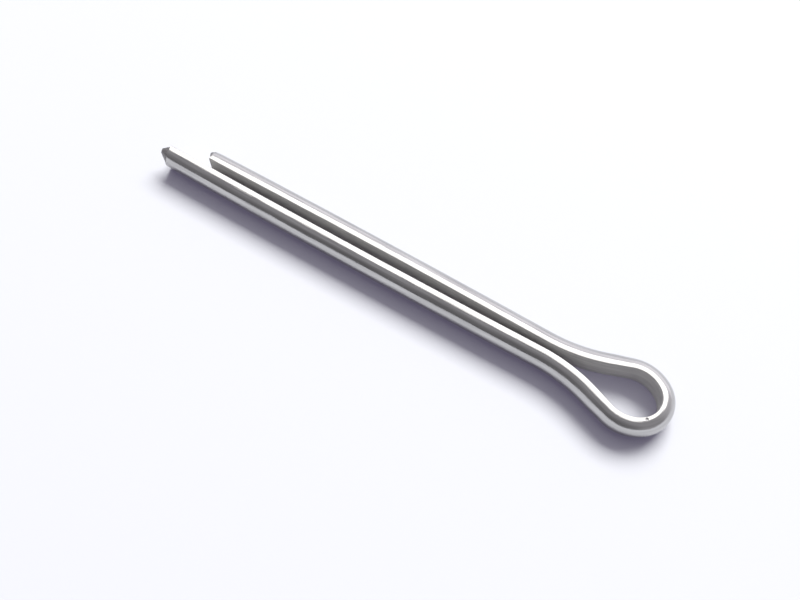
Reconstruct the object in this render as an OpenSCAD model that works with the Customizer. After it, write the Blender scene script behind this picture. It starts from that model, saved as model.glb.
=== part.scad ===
// Cotter pin (split pin), bent from one length of half-round wire with the flat side in.
// The pin lies flat: +X points out of the eye, the two legs lie side by side across Y,
// the surface it lies on is z = 0, and the origin is under the middle of its box.

/* [Wire] */
// Height of the wire, across its flat side
wire_h = 4.5; // [3:0.1:6]
// Thickness of the wire, from its flat side to its round side
wire_t = 2.2; // [1.6:0.05:2.8]
// Radius of the two edges beside the flat side
edge_r = 0.2; // [0.1:0.02:0.3]
// Distance from the flat side to where the round side starts
land_w = 0.38; // [0.34:0.02:0.6]

/* [Legs] */
// Length of the shorter leg, from the throat to its end
leg_len = 51.5; // [20:0.5:110]
// How much further the longer leg reaches
leg_extra = 6; // [1:0.25:12]
// Clear gap between the flat sides at the throat
throat_gap = 0.9; // [0.3:0.05:2]
// Angle that each leg spreads at as it leaves the throat, before it curves back to parallel
leg_spread = 0.8; // [0.4:0.1:3]

/* [Eye] */
// Clear width of the eye
eye_w = 6.4; // [5:0.1:14]
// Angle of the eye's flanks to the pin's length, where the neck bend ends
flank_angle = 20; // [12:1:30]
// How much larger the shoulders' radius is than half the eye's width
shoulder_more = 1.4; // [0.4:0.1:3]
// How much smaller the radius of the eye's end is than half the eye's width
crown_less = 0.4; // [0.1:0.05:1]

/* [Cut ends] */
// How far the upper lip of the longer leg's end stands out past its lower half
long_lip = 1.1; // [0.1:0.05:2]
// How far the upper lip of the shorter leg's end stands out past its lower half
short_lip = 0.5; // [0.1:0.05:2]
// Height of the lower, upright half of each cut end
lip_z = 2.4; // [1:0.1:2.6]
// Thickness of each lip where it ends
lip_t = 0.4; // [0.3:0.05:1]
// Length of the slope pinched into the round side of each end
pinch_len = 1.6; // [0.4:0.1:4]
// Depth of that slope at the very end
pinch_depth = 0.5; // [0.1:0.05:1]

/* [Hidden] */
steel = [0.72, 0.71, 0.70];
round_fn = 96;
arc_steps = 16;
far = 4 * wire_h;

// The round side is one arc, from the lands above and below out to the wire's thickness
round_w = wire_t - land_w;
round_r = (round_w * round_w + wire_h * wire_h / 4) / (2 * round_w);

// The radii and angles of the bends are rounded, so that one bend ends exactly where the
// next one starts. The shoulder and the crown close the eye on the centre line.
shoulder_r = eye_w / 2 + shoulder_more;
crown_r = eye_w / 2 - crown_less;
crown_angle = round(1000 * asin(shoulder_more / (shoulder_r - crown_r))) / 1000;
shoulder_cy = -(shoulder_r - crown_r) * sin(crown_angle);

// The neck bend runs from the throat out to the shoulder
neck_rise = shoulder_cy + shoulder_r * cos(flank_angle) - throat_gap / 2;
neck_r = round(1000 * neck_rise / (cos(leg_spread) - cos(flank_angle))) / 1000;
neck_cx = neck_r * sin(leg_spread);
neck_cy = shoulder_cy + (shoulder_r + neck_r) * cos(flank_angle);
shoulder_cx = neck_cx + (neck_r + shoulder_r) * sin(flank_angle);
crown_cx = shoulder_cx + (shoulder_r - crown_r) * cos(crown_angle);

// Each leg's flat side is one shallow arc, furthest out half way down the shorter leg
leg_r = round(leg_len / 2 / sin(leg_spread));
leg_cx = neck_cx - (neck_r + leg_r) * sin(leg_spread);
leg_cy = neck_cy - (neck_r + leg_r) * cos(leg_spread);

// Middle of the pin's length, measured from the throat
middle_x = (crown_cx + crown_r + wire_t - leg_len - leg_extra - long_lip) / 2;

// y of a leg's flat side at a distance x from the throat
function flat_y(x) = leg_cy + sqrt(leg_r * leg_r - pow(x - leg_cx, 2));

// Half-round section, flat side on the Y axis, round side towards +X
module wire_section() {
    edge_y = wire_h / 2 - edge_r;
    intersection() {
        translate([wire_t - round_r, 0]) circle(r = round_r, $fn = round_fn);
        union() {
            translate([0, -edge_y]) square([far, 2 * edge_y]);
            translate([edge_r, -wire_h / 2]) square([far, wire_h]);
            for (side = [-1, 1])
                translate([edge_r, side * edge_y]) circle(r = edge_r, $fn = round_fn / 2);
        }
    }
}

// Moves in whole hundredths and then by what is left, so that no place is rounded
module at(x, y, z = 0) {
    coarse = [for (v = [x, y, z]) round(100 * v) / 100];
    translate(coarse) translate([x, y, z] - coarse) children();
}

// Wire bent round the point x, y: flat side at radius r, from angle start through turn.
// The round side looks out, or in towards the point where flat_out is true.
module bend(x, y, r, start, turn, flat_out = false) {
    at(x, y, wire_h / 2)
        rotate_extrude(start = start, angle = turn, $fn = ceil(arc_steps * 360 / turn))
            translate([r, 0]) mirror([flat_out ? 1 : 0, 0]) wire_section();
}

// Block past a leg's cut end: upright below lip_z, then sloping out by lip to a blunt edge
module end_cut(length, lip) {
    translate([-length, far, 0]) rotate([90, 0, 0]) linear_extrude(2 * far)
        polygon([[0, -1], [0, lip_z], [-lip, wire_h - lip_t], [-lip, far], [-far, far], [-far, -1]]);
}

// Wedge that slopes the round side in towards a leg's end
module pinch(length, lip) {
    tip_x = -length - lip;
    out_y = flat_y(tip_x) + wire_t;
    translate([0, 0, -1]) linear_extrude(wire_h + 2)
        polygon([[tip_x + pinch_len, far], [tip_x + pinch_len, out_y],
                 [tip_x, out_y - pinch_depth], [tip_x - far, out_y - pinch_depth],
                 [tip_x - far, far]]);
}

// One leg on the +Y side, from its cut end to the throat
module leg(length, lip) {
    past_end = length + lip + 1;
    difference() {
        bend(leg_cx, leg_cy, leg_r, 90 - leg_spread, past_end / leg_r * 180 / PI);
        end_cut(length, lip);
        pinch(length, lip);
    }
}

// The neck bend and the shoulder on the +Y side
module eye_side() {
    bend(neck_cx, neck_cy, neck_r, 270 - leg_spread, leg_spread + flank_angle, true);
    bend(shoulder_cx, shoulder_cy, shoulder_r, crown_angle, 90 + flank_angle - crown_angle);
}

module cotter_pin() {
    color(steel) at(-middle_x, 0) {
        leg(leg_len, short_lip);
        eye_side();
        bend(crown_cx, 0, crown_r, -crown_angle, 2 * crown_angle);
        mirror([0, 1, 0]) {
            leg(leg_len + leg_extra, long_lip);
            eye_side();
        }
    }
}

cotter_pin();
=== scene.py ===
"""A steel cotter pin (split pin), bent from one length of half-round wire."""
from math import asin, atan2, cos, degrees, hypot, pi, radians, sin

import bpy
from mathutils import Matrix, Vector


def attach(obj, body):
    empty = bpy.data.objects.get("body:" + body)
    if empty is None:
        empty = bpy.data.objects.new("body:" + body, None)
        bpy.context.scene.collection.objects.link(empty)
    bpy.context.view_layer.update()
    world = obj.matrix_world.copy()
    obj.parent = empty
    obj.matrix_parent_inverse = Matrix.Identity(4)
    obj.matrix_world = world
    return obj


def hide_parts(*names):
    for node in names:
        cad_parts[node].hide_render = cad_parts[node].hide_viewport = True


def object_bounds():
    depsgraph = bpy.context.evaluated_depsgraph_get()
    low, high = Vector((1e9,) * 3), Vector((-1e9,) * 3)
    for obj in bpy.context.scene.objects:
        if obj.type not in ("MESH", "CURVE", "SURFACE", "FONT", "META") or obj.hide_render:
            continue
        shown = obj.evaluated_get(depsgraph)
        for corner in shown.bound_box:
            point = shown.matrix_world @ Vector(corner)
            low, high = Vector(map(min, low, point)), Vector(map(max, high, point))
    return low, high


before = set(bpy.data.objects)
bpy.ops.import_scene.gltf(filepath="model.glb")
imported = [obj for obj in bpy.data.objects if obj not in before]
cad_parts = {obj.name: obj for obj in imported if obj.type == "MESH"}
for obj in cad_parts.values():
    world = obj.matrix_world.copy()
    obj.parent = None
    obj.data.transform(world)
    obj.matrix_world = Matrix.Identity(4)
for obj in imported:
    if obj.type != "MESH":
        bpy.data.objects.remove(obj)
cad_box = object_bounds()

MM_PER_M = 1000         # the pin is modelled in millimetres and then scaled to metres

# ---- The wire, in millimetres ----------------------------------------------------
WIRE_H = 4.5            # height of the wire as it lies
LEG_T = 2.18            # thickness along the legs
EYE_T = 2.04            # thickness round the eye, where the wire is stretched
EDGE_R = 0.3            # rounding of the flat face's two edges

# ---- The path of the wire's flat face, in millimetres and degrees ----------------
END_MARGIN = 0.02       # the eye's end stays this far inside the model's box
CROWN_R = 2.85          # inside radius at the eye's end
SHOULDER_R = 4.64       # inside radius at the eye's sides
FLANK_ANGLE = 19.9      # slope of the straight flank
FLANK_LEN = 2.77
NECK_R = 26.17          # the outward curve from the flank to the leg
THROAT_GAP = 0.94
LEG_SLOPE = 0.72        # how far each leg leans out just past the throat
LEG_R = 2350.0          # the legs bow out by this very large radius
LEG_REACH = 62.0        # length of a leg before its end is cut

# ---- How finely the wire is divided ----------------------------------------------
ROUND_STEPS = 96        # sides of the full ellipse that the round side is cut from
EDGE_STEPS = 8          # steps round each edge of the flat face
FLAT_CUTS = 9           # cuts across the flat face
EYE_STEPS = 22          # steps along each of the eye's two curves
TAPER_CUTS = 8          # cuts along the flank, where the wire grows to its full thickness
NECK_STEPS = 20
LEG_STEPS = 62
MERGE = 1e-4            # modelled points closer than this are one point
NEAR = 1e-3             # a point this close to a plane is taken to lie on it
FACING = 0.9            # a face whose normal reaches this along an axis looks that way

# ---- The sheared ends, in millimetres --------------------------------------------
LONG_END_X = -39.3      # the longer leg's end
SHORT_END_X = -33.45
CUT_ROOM = 5            # the cut looks at faces up to this far behind it
PINCH_LEN = 1.3         # the shear draws the round side in over this length
PINCH_DEPTH = 0.1
PINCH_RINGS = (0, 0.2, 0.4, 0.6, 0.75, 0.88, 1)     # rings along that length
LIP_Z = 2.7             # the lip stands above this height
LIP_OUT = 0.3           # and outside this distance from the flat face
LIP_TIP_OUT = 1.15      # its point lies this far from the flat face
LIP_TIP_Z = 3.96        # and at this height
LIP_STEPS = ((0.4, 0.72), (0.35, 0.66), (0.25, 0.6))    # share of its length, and shrinking
LONG_LIP = 0.95         # the lip's length on the longer leg
SHORT_LIP = 0.4
CUT_BEVEL = 0.06        # rounding of the cut edges
CUT_BEVEL_STEPS = 2
CUT_ANGLE = 35          # edges sharper than this, in degrees, are cut edges
SMOOTH_ANGLE = 40       # flatter edges than this are shaded smooth
CRUMB = 0.002           # points closer than this after the rounding become one

# ---- The finishes and the painted shade at the cut ends, in millimetres on the straightened wire ---
DRAWN_DARK = (0.44, 0.437, 0.431, 1)
DRAWN_LIGHT = (0.56, 0.556, 0.549, 1)
# the sheared metal's colour: its real torn grey, darkened further as painted shade along the cut
# edge
TORN_DARK_AND_SHADE = (0.2, 0.195, 0.2, 1)
TORN_LIGHT_AND_SHADE = (0.42, 0.41, 0.41, 1)
FLAT_FADE = (0.02, 0.1)         # the flat face's duller finish fades out between these
DRAWN_SLOT, TORN_AND_SHADE_SLOT = 0, 1    # the order in which the pin holds its two finishes; the second carries painted shade at the cut
TORN_AND_SHADE_LEN = 0.12                 # the sheared finish, with its painted shade along the cut edge, reaches this far along a leg's sides
TORN_AND_SHADE_TOP = 4.1                  # but not above this height
TORN_NORMAL = -0.7              # faces whose normals point further back are cut faces
NICK_AT = (-2.5, 0.35, 4.5)     # a small nick on the eye: along the wire, outwards and up
NICK_R = 0.22

# ---- The light, in metres and degrees --------------------------------------------
FLOOR_SIZE = 9
FLOOR_COLOUR = (0.205, 0.211, 0.219, 1)
FLOOR_LIFT = (0.66, 0.55, 1, 1)     # a faint glow that keeps the shadow from going black
FLOOR_LIFT_GLOW = 0.09
PANEL_AT = (-0.36, 0.26, 2.0)
PANEL_SIZE = (1.84, 1.28)
PANEL_GLOW = 1.95
PANEL_COLOUR = (1, 0.985, 0.955)
WINDOW_AWAY = 2.4
WINDOW_HEIGHT = 49
WINDOW_SIZE = (1.7, 1.04)
WINDOW_GLOW = 52
WINDOW_COLOUR = (1, 0.992, 0.975)
SHEEN_HEIGHT = 54       # a dimmer panel stands for the window in the metal's reflections
SHEEN_SIZE = (2.4, 1.2)
SHEEN_GLOW = 2.0
SHEEN_COLOUR = (1, 0.98, 0.94)
# place from front (0) to back (1), and brightness there
ROOM_TONES = ((0.0, 0.17), (0.08, 0.24), (0.2, 0.42), (0.5, 0.42), (0.85, 0.8), (0.93, 1.3))
ROOM_TINT = (1, 0.975, 1.04)

# ---- The camera, in metres and degrees -------------------------------------------
VIEW_AIM = Vector((0.0003, -0.0028, 0))
VIEW_TILT = 22.8        # away from straight down
VIEW_TURN = 30.7        # round towards the eye
VIEW_DISTANCE = 0.1679
VIEW_LENS = 54          # millimetres


# ---- Small helpers ---------------------------------------------------------------
def edit(obj):
    """Open one piece for editing with nothing selected in it."""
    bpy.ops.object.select_all(action="DESELECT")
    obj.select_set(True)
    bpy.context.view_layer.objects.active = obj
    bpy.ops.object.mode_set(mode="EDIT")
    bpy.ops.mesh.select_mode(type="FACE")
    bpy.ops.mesh.select_all(action="DESELECT")


def choose(obj, test, kind="polygons"):
    """Select just the faces, or the edges or points, that pass the test."""
    bpy.ops.mesh.select_all(action="DESELECT")
    bpy.ops.object.mode_set(mode="OBJECT")
    for item in getattr(obj.data, kind):
        item.select = test(item)
    bpy.ops.object.mode_set(mode="EDIT")


def heading(angle):
    """A direction on the table, turned by this many degrees from +X."""
    return Vector((cos(radians(angle)), sin(radians(angle)), 0))


def sweep(steps, angle, centre):
    """Carry the selected outline round an upright axis, turning left."""
    bpy.ops.mesh.spin(steps=steps, angle=-radians(angle), center=centre, axis=(0, 0, 1))


# ---- The path --------------------------------------------------------------------
# The crown, shoulder and flank of one half, each meeting the next without a kink.
crown = Vector((cad_box[1][0] * MM_PER_M - END_MARGIN - EYE_T - CROWN_R, 0, 0))
flank_normal = heading(90 + FLANK_ANGLE)
flank_back = heading(180 + FLANK_ANGLE)
rise = (SHOULDER_R * flank_normal + FLANK_LEN * flank_back).y - NECK_R * (1 - flank_normal.y)
crown_angle = degrees(asin((rise - THROAT_GAP / 2) / (SHOULDER_R - CROWN_R)))
shoulder_angle = 90 + FLANK_ANGLE - crown_angle
shoulder = crown - (SHOULDER_R - CROWN_R) * heading(crown_angle)
flank_start = shoulder + SHOULDER_R * flank_normal
flank_end = flank_start + FLANK_LEN * flank_back
neck = flank_end + NECK_R * flank_normal
leg_start = neck - NECK_R * heading(90 - LEG_SLOPE)
leg_centre = leg_start - LEG_R * heading(90 - LEG_SLOPE)


# ---- The wire --------------------------------------------------------------------
def wire_outline(name, thickness, place, turn):
    """The wire cut across: a half round whose flat face is at this place on the path."""
    bpy.ops.object.select_all(action="DESELECT")
    bpy.ops.mesh.primitive_circle_add(vertices=ROUND_STEPS, radius=1, fill_type="NGON",
                                      rotation=(pi / 2, 0, 0))
    obj = bpy.context.object
    obj.name = name
    bpy.ops.object.transform_apply(rotation=True)
    edit(obj)
    bpy.ops.mesh.select_all(action="SELECT")
    bpy.ops.transform.resize(value=(thickness - EDGE_R, 1, WIRE_H / 2))
    bpy.ops.transform.translate(value=(EDGE_R, 0, WIRE_H / 2))
    bpy.ops.mesh.bisect(plane_co=(0, 0, 0), plane_no=(1, 0, 0), clear_inner=True)
    bpy.ops.mesh.select_mode(type="VERT")
    choose(obj, lambda point: abs(point.co.x) < MERGE, "vertices")
    bpy.ops.mesh.bevel(offset=EDGE_R, segments=EDGE_STEPS, affect="VERTICES")
    bpy.ops.mesh.select_mode(type="EDGE")
    choose(obj, lambda edge: on_flat(obj, edge), "edges")
    bpy.ops.mesh.subdivide(number_cuts=FLAT_CUTS)
    bpy.ops.object.mode_set(mode="OBJECT")
    obj.location = place
    obj.rotation_euler.z = radians(turn)
    bpy.ops.object.transform_apply()
    edit(obj)
    bpy.ops.mesh.select_all(action="SELECT")
    return obj


def on_flat(outline, edge):
    """True for the edge of the outline that draws the flat face, before it is placed."""
    return all(abs(outline.data.vertices[i].co.x) < MERGE for i in edge.vertices)


def half_pin():
    """Half the eye and one leg, up to the plane of symmetry."""
    eye = wire_outline("eye_half", EYE_T, crown + CROWN_R * heading(0), 0)
    sweep(EYE_STEPS, crown_angle, crown)
    sweep(EYE_STEPS, shoulder_angle, shoulder)
    bpy.ops.object.mode_set(mode="OBJECT")
    leg = wire_outline("leg", LEG_T, flank_end, 90 + FLANK_ANGLE)
    sweep(NECK_STEPS, -(FLANK_ANGLE + LEG_SLOPE), neck)
    sweep(LEG_STEPS, degrees(LEG_REACH / LEG_R), leg_centre)
    bpy.ops.object.mode_set(mode="OBJECT")
    return eye, leg


def join_halves(eye, leg):
    """Bridge the eye's thin wire to the leg's full wire, and mirror the half into a pin."""
    bpy.ops.object.select_all(action="DESELECT")
    eye.select_set(True)
    leg.select_set(True)
    bpy.context.view_layer.objects.active = leg
    bpy.ops.object.join()
    pin = leg
    edit(pin)
    choose(pin, lambda face: is_cap(face) and abs(face.normal.x) > FACING and face.center.x > 0)
    bpy.ops.mesh.delete(type="ONLY_FACE")
    choose_open_rims(pin)
    bpy.ops.mesh.bridge_edge_loops(number_cuts=TAPER_CUTS)
    bpy.ops.mesh.select_mode(type="FACE")
    choose(pin, lambda face: is_cap(face) and abs(face.center.y) < MERGE)
    bpy.ops.mesh.delete(type="ONLY_FACE")
    bpy.ops.object.mode_set(mode="OBJECT")
    mirror = pin.modifiers.new("both_sides", "MIRROR")
    mirror.use_axis = (False, True, False)
    mirror.merge_threshold = MERGE
    bpy.ops.object.modifier_apply(modifier=mirror.name)
    return pin


def is_cap(face):
    """True for a face that closes the end of a swept wire."""
    return len(face.vertices) > 4


def choose_open_rims(obj):
    """Select the edges with a face on one side only, away from the plane of symmetry."""
    bpy.ops.object.mode_set(mode="OBJECT")
    uses = {}
    for face in obj.data.polygons:
        for key in face.edge_keys:
            uses[key] = uses.get(key, 0) + 1
    points = obj.data.vertices
    open_keys = {key for key, count in uses.items() if count == 1
                 and min(abs(points[i].co.y) for i in key) > NEAR}
    bpy.ops.object.mode_set(mode="EDIT")
    bpy.ops.mesh.select_mode(type="EDGE")
    choose(obj, lambda edge: edge.key in open_keys, "edges")


def shear_end(pin, side, end_x, lip):
    """Cut one leg off, draw its round side in towards the cut, and leave a small lip."""
    def at_end(face, x):
        on_leg = face.center.y * side > 0 and abs(face.center.x - x) < NEAR
        return on_leg and abs(face.normal.x) > FACING

    def at_lip(face):
        return at_end(face, end_x) and face.center.z > LIP_Z

    cut_x = end_x + PINCH_LEN
    bpy.ops.mesh.select_mode(type="FACE")
    choose(pin, lambda face: face.center.y * side > 0 and face.center.x < cut_x + CUT_ROOM)
    bpy.ops.mesh.bisect(plane_co=(cut_x, 0, 0), plane_no=(1, 0, 0), clear_inner=True, use_fill=True)
    choose(pin, lambda face: at_end(face, cut_x))
    cut_faces = [face for face in pin.data.polygons if at_end(face, cut_x)]
    flat_y = side * min(abs(pin.data.vertices[i].co.y) for face in cut_faces for i in face.vertices)
    for before_x, after_x in zip(PINCH_RINGS, PINCH_RINGS[1:]):
        before = 1 - before_x ** 2 * PINCH_DEPTH / LEG_T
        after = 1 - after_x ** 2 * PINCH_DEPTH / LEG_T
        step = PINCH_LEN * (after_x - before_x)
        bpy.ops.mesh.extrude_region_move(TRANSFORM_OT_translate={"value": (-step, 0, 0)})
        bpy.ops.transform.resize(value=(1, after / before, 1), center_override=(0, flat_y, 0))
    bpy.ops.mesh.bisect(plane_co=(0, 0, LIP_Z), plane_no=(0, 0, 1))
    choose(pin, at_lip)
    lip_y = flat_y + side * LIP_OUT
    bpy.ops.mesh.bisect(plane_co=(0, lip_y, 0), plane_no=(0, 1, 0))
    choose(pin, lambda face: at_lip(face) and face.center.y * side > lip_y * side)
    tip = (end_x, flat_y + side * LIP_TIP_OUT, LIP_TIP_Z)
    for share, shrink in LIP_STEPS:
        bpy.ops.mesh.extrude_region_move(TRANSFORM_OT_translate={"value": (-lip * share, 0, 0)})
        bpy.ops.transform.resize(value=(1, shrink, shrink), center_override=tip)


def round_cut_edges(pin):
    """A very small bevel round the sheared ends, and smooth shading elsewhere."""
    bevel = pin.modifiers.new("cut_edges", "BEVEL")
    bevel.width = CUT_BEVEL
    bevel.segments = CUT_BEVEL_STEPS
    bevel.limit_method = "ANGLE"
    bevel.angle_limit = radians(CUT_ANGLE)
    bpy.ops.object.modifier_apply(modifier=bevel.name)
    edit(pin)
    bpy.ops.mesh.select_all(action="SELECT")
    bpy.ops.mesh.remove_doubles(threshold=CRUMB)
    bpy.ops.mesh.dissolve_degenerate(threshold=CRUMB / 2)
    bpy.ops.object.mode_set(mode="OBJECT")
    bpy.ops.object.shade_smooth_by_angle(angle=radians(SMOOTH_ANGLE))


def wire_place(co):
    """Where a point of the bent wire was on the straight wire: along, outwards, up."""
    x, y, side = co.x, abs(co.y), 1 if co.y >= 0 else -1
    turned = degrees(atan2(y, x - crown.x))
    if turned <= crown_angle:
        return side * radians(turned) * CROWN_R, hypot(x - crown.x, y) - CROWN_R, co.z
    start = radians(crown_angle) * CROWN_R
    turned = degrees(atan2(y - shoulder.y, x - shoulder.x))
    if turned <= 90 + FLANK_ANGLE:
        along = start + radians(turned - crown_angle) * SHOULDER_R
        return side * along, hypot(x - shoulder.x, y - shoulder.y) - SHOULDER_R, co.z
    start += radians(shoulder_angle) * SHOULDER_R
    from_flank = Vector((x, y, 0)) - flank_start
    if from_flank.dot(flank_back) <= FLANK_LEN:
        return side * (start + from_flank.dot(flank_back)), from_flank.dot(flank_normal), co.z
    start += FLANK_LEN
    if x >= leg_start.x:
        turned = radians(FLANK_ANGLE) + atan2(neck.x - x, neck.y - y)
        return side * (start + turned * NECK_R), NECK_R - hypot(x - neck.x, y - neck.y), co.z
    start += radians(FLANK_ANGLE + LEG_SLOPE) * NECK_R
    out = hypot(x - leg_centre.x, y - leg_centre.y) - LEG_R
    return side * (start + leg_start.x - x), out, co.z


def bend_wire():
    """The whole pin as one closed mesh, in metres."""
    pin = join_halves(*half_pin())
    edit(pin)
    shear_end(pin, -1, LONG_END_X, LONG_LIP)
    shear_end(pin, 1, SHORT_END_X, SHORT_LIP)
    bpy.ops.mesh.select_all(action="SELECT")
    bpy.ops.mesh.remove_doubles(threshold=MERGE)
    bpy.ops.mesh.normals_make_consistent(inside=False)
    bpy.ops.object.mode_set(mode="OBJECT")
    round_cut_edges(pin)
    places = [c for v in pin.data.vertices for c in wire_place(v.co)]
    wire = pin.data.attributes.new("wire", "FLOAT_VECTOR", "POINT")
    wire.data.foreach_set("vector", places)
    pin.scale = (1 / MM_PER_M,) * 3
    bpy.ops.object.transform_apply()
    return pin


# ---- Materials -------------------------------------------------------------------
def node(tree, kind, **sockets):
    """A new node with some of its sockets set; a socket given as (node, output) is linked."""
    made = tree.nodes.new(kind)
    for name, value in sockets.items():
        socket = made.inputs[1 if name == "Value_001" else name.replace("_", " ")]
        if isinstance(value, tuple) and isinstance(value[0], bpy.types.Node):
            tree.links.new(value[0].outputs[value[1]], socket)
        else:
            socket.default_value = value
    return made


def new_steel(name):
    """A new material, its node tree, its shader, and the node that reads the wire's places."""
    steel = bpy.data.materials.new(name)
    steel.use_nodes = True
    tree = steel.node_tree
    wire = tree.nodes.new("ShaderNodeAttribute")
    wire.attribute_name = "wire"
    return steel, tree, tree.nodes["Principled BSDF"], wire


def two_tones(tree, pattern, dark, light, low, high):
    """A tint that runs from dark to light as the pattern goes from low to high."""
    tint = node(tree, "ShaderNodeValToRGB", Fac=(pattern, "Fac"))
    for stop, place, colour in zip(tint.color_ramp.elements, (low, high), (dark, light)):
        stop.position = place
        stop.color = colour
    return tint


def drawn_steel():
    """Bright drawn steel wire: glossy, fine lines along it, a duller flat face, one nick."""
    steel, tree, shader, wire = new_steel("drawn_steel")
    cloud = node(tree, "ShaderNodeTexNoise", Vector=(wire, "Vector"), Scale=0.9, Detail=5.0,
                 Roughness=0.6)
    rough = node(tree, "ShaderNodeMapRange", Value=(cloud, "Fac"), From_Min=0.3, From_Max=0.7,
                 To_Min=0.07, To_Max=0.14)
    across = node(tree, "ShaderNodeSeparateXYZ", Vector=(wire, "Vector"))
    dull = node(tree, "ShaderNodeMapRange", Value=(across, "Y"), From_Min=FLAT_FADE[0],
                From_Max=FLAT_FADE[1], To_Min=0.6, To_Max=0.0)
    gloss = node(tree, "ShaderNodeMath", Value=(rough, "Result"), Value_001=(dull, "Result"))
    tree.links.new(gloss.outputs["Value"], shader.inputs["Roughness"])
    bare = node(tree, "ShaderNodeMapRange", Value=(across, "Y"), From_Min=FLAT_FADE[0],
                From_Max=FLAT_FADE[1], To_Min=0.68, To_Max=1.0)
    tree.links.new(bare.outputs["Result"], shader.inputs["Metallic"])
    streaks_at = node(tree, "ShaderNodeMapping", Vector=(wire, "Vector"), Scale=(0.16, 2.2, 2.2))
    streaks = node(tree, "ShaderNodeTexNoise", Vector=(streaks_at, "Vector"), Scale=1.0, Detail=3.0)
    tint = two_tones(tree, streaks, DRAWN_DARK, DRAWN_LIGHT, 0.3, 0.7)
    tree.links.new(tint.outputs["Color"], shader.inputs["Base Color"])
    surface = drawn_surface(tree, wire, streaks)
    tree.links.new(surface.outputs["Normal"], shader.inputs["Normal"])
    return steel


def drawn_surface(tree, wire, streaks):
    """The drawn wire's relief: shallow waves, fine lines along the wire, and the nick."""
    waves = node(tree, "ShaderNodeBump", Strength=0.4, Distance=0.00003, Height=(streaks, "Fac"))
    lines_at = node(tree, "ShaderNodeMapping", Vector=(wire, "Vector"), Scale=(0.12, 14, 14))
    lines = node(tree, "ShaderNodeTexNoise", Vector=(lines_at, "Vector"), Scale=1.0, Detail=4.0,
                 Roughness=0.6)
    grain = node(tree, "ShaderNodeBump", Strength=0.5, Distance=0.000016, Height=(lines, "Fac"),
                 Normal=(waves, "Normal"))
    from_nick = node(tree, "ShaderNodeVectorMath", Vector=(wire, "Vector"))
    from_nick.operation = "DISTANCE"
    from_nick.inputs[1].default_value = NICK_AT
    nick = node(tree, "ShaderNodeMapRange", Value=(from_nick, "Value"), From_Max=NICK_R)
    return node(tree, "ShaderNodeBump", Strength=1.0, Distance=0.00012, Height=(nick, "Result"),
                Normal=(grain, "Normal"))


def sheared_steel_and_shade():
    """The torn grey metal of a sheared end: matt, with a fine grain, its colour darkened as painted
    shade along the cut.
    """
    torn_and_shaded, tree, shader, wire = new_steel("sheared_steel_and_shade")
    shader.inputs["Metallic"].default_value = 1
    grain = node(tree, "ShaderNodeTexNoise", Vector=(wire, "Vector"), Scale=9.0, Detail=6.0,
                 Roughness=0.7)
    tint = two_tones(tree, grain, TORN_DARK_AND_SHADE, TORN_LIGHT_AND_SHADE, 0.35, 0.7)
    tree.links.new(tint.outputs["Color"], shader.inputs["Base Color"])
    rough = node(tree, "ShaderNodeMapRange", Value=(grain, "Fac"), From_Min=0.3, From_Max=0.7,
                 To_Min=0.38, To_Max=0.6)
    tree.links.new(rough.outputs["Result"], shader.inputs["Roughness"])
    tears = node(tree, "ShaderNodeBump", Strength=0.6, Distance=0.00004, Height=(grain, "Fac"))
    tree.links.new(tears.outputs["Normal"], shader.inputs["Normal"])
    return torn_and_shaded


def finish_and_shade_ends(pin):
    """The sheared finish goes on the cut faces, the lips and a sliver of each leg's sides, darkened
    as painted shade along the cut edge.
    """
    pin.data.materials.append(drawn_steel())
    pin.data.materials.append(sheared_steel_and_shade())
    for face in pin.data.polygons:
        end_x = LONG_END_X if face.center.y < 0 else SHORT_END_X
        past_end = face.center.x * MM_PER_M - end_x
        # below this height the sliver is painted darker as shade along the cut edge
        shade_reach = TORN_AND_SHADE_LEN if face.center.z * MM_PER_M < TORN_AND_SHADE_TOP else 0
        cut_face = face.normal.x < TORN_NORMAL and past_end < TORN_AND_SHADE_LEN
        face.material_index = TORN_AND_SHADE_SLOT if past_end < shade_reach or cut_face else DRAWN_SLOT


# ---- The set ---------------------------------------------------------------------
def floor_material():
    """Plain, pale and matt."""
    paper = bpy.data.materials.new("pale_floor")
    paper.use_nodes = True
    shader = paper.node_tree.nodes["Principled BSDF"]
    shader.inputs["Base Color"].default_value = FLOOR_COLOUR
    shader.inputs["Roughness"].default_value = 0.9
    shader.inputs["Specular IOR Level"].default_value = 0.2
    shader.inputs["Emission Color"].default_value = FLOOR_LIFT
    shader.inputs["Emission Strength"].default_value = FLOOR_LIFT_GLOW
    return paper


def soft_box(name, place, aim, size, glow, colour):
    """A rectangular soft light at a place, turned to face the aim; glow is its brightness."""
    data = bpy.data.lights.new(name, "AREA")
    data.shape = "RECTANGLE"
    data.size, data.size_y = size
    data.energy = glow * pi * size[0] * size[1]
    data.color = colour
    lamp = bpy.data.objects.new(name, data)
    lamp.location = place
    lamp.rotation_euler = (Vector(aim) - Vector(place)).to_track_quat("-Z", "Y").to_euler()
    lamp.visible_camera = False
    bpy.context.scene.collection.objects.link(lamp)
    return lamp


def behind(height):
    """A place behind the pin, at this height in degrees above the floor."""
    return (0, WINDOW_AWAY * cos(radians(height)), WINDOW_AWAY * sin(radians(height)))


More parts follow.
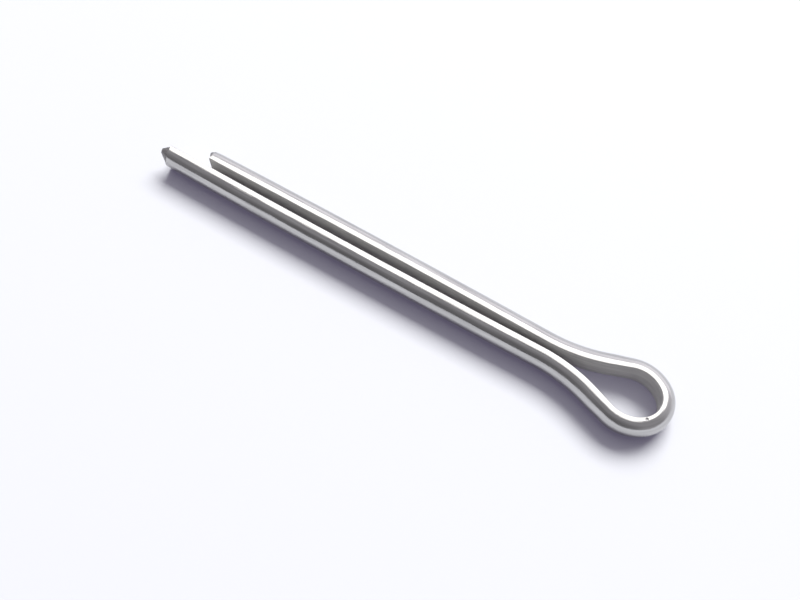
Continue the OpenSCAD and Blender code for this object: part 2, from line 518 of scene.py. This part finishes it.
def room():
    """Surroundings that are dim in front of the pin and pale behind it."""
    world = bpy.data.worlds.new("room")
    world.use_nodes = True
    tree = world.node_tree
    way = tree.nodes.new("ShaderNodeTexCoord")
    parts = node(tree, "ShaderNodeSeparateXYZ", Vector=(way, "Generated"))
    depth = node(tree, "ShaderNodeMapRange", Value=(parts, "Y"), From_Min=-1.0, From_Max=1.0)
    ramp = node(tree, "ShaderNodeValToRGB", Fac=(depth, "Result"))
    for _ in ROOM_TONES[2:]:
        ramp.color_ramp.elements.new(0.5)
    for stop, (place, tone) in zip(ramp.color_ramp.elements, ROOM_TONES):
        stop.position = place
        stop.color = [tone * part for part in ROOM_TINT] + [1]
    tree.links.new(ramp.outputs["Color"], tree.nodes["Background"].inputs["Color"])
    bpy.context.scene.world = world


def light_set():
    """A pale floor, a soft panel overhead, and a large window high behind the pin."""
    bpy.ops.mesh.primitive_plane_add(size=FLOOR_SIZE)
    floor = bpy.context.object
    floor.name = "floor"
    floor.data.materials.append(floor_material())
    room()
    under_panel = (PANEL_AT[0], PANEL_AT[1], 0)
    soft_box("overhead_panel", PANEL_AT, under_panel, PANEL_SIZE, PANEL_GLOW, PANEL_COLOUR)
    window = soft_box("window", behind(WINDOW_HEIGHT), (0, 0, 0), WINDOW_SIZE, WINDOW_GLOW,
                      WINDOW_COLOUR)
    window.visible_glossy = False
    soft_box("window_sheen", behind(SHEEN_HEIGHT), (0, 0, 0), SHEEN_SIZE, SHEEN_GLOW, SHEEN_COLOUR)


def camera():
    """The viewing angle: from the eye's near side, looking steeply down."""
    data = bpy.data.cameras.new("camera")
    data.lens = VIEW_LENS
    data.clip_start = 0.001
    view = bpy.data.objects.new("camera", data)
    tilt, turn = radians(VIEW_TILT), radians(VIEW_TURN)
    back = Vector((sin(turn) * sin(tilt), -cos(turn) * sin(tilt), cos(tilt)))
    view.location = VIEW_AIM + VIEW_DISTANCE * back
    view.rotation_euler = (tilt, 0, turn)
    bpy.context.scene.collection.objects.link(view)
    bpy.context.scene.camera = view


pin = bend_wire()
pin.name = "split_pin"
finish_and_shade_ends(pin)
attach(pin, "root")
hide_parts("cotter_pin")
light_set()
camera()
bpy.context.scene.view_settings.view_transform = "Standard"
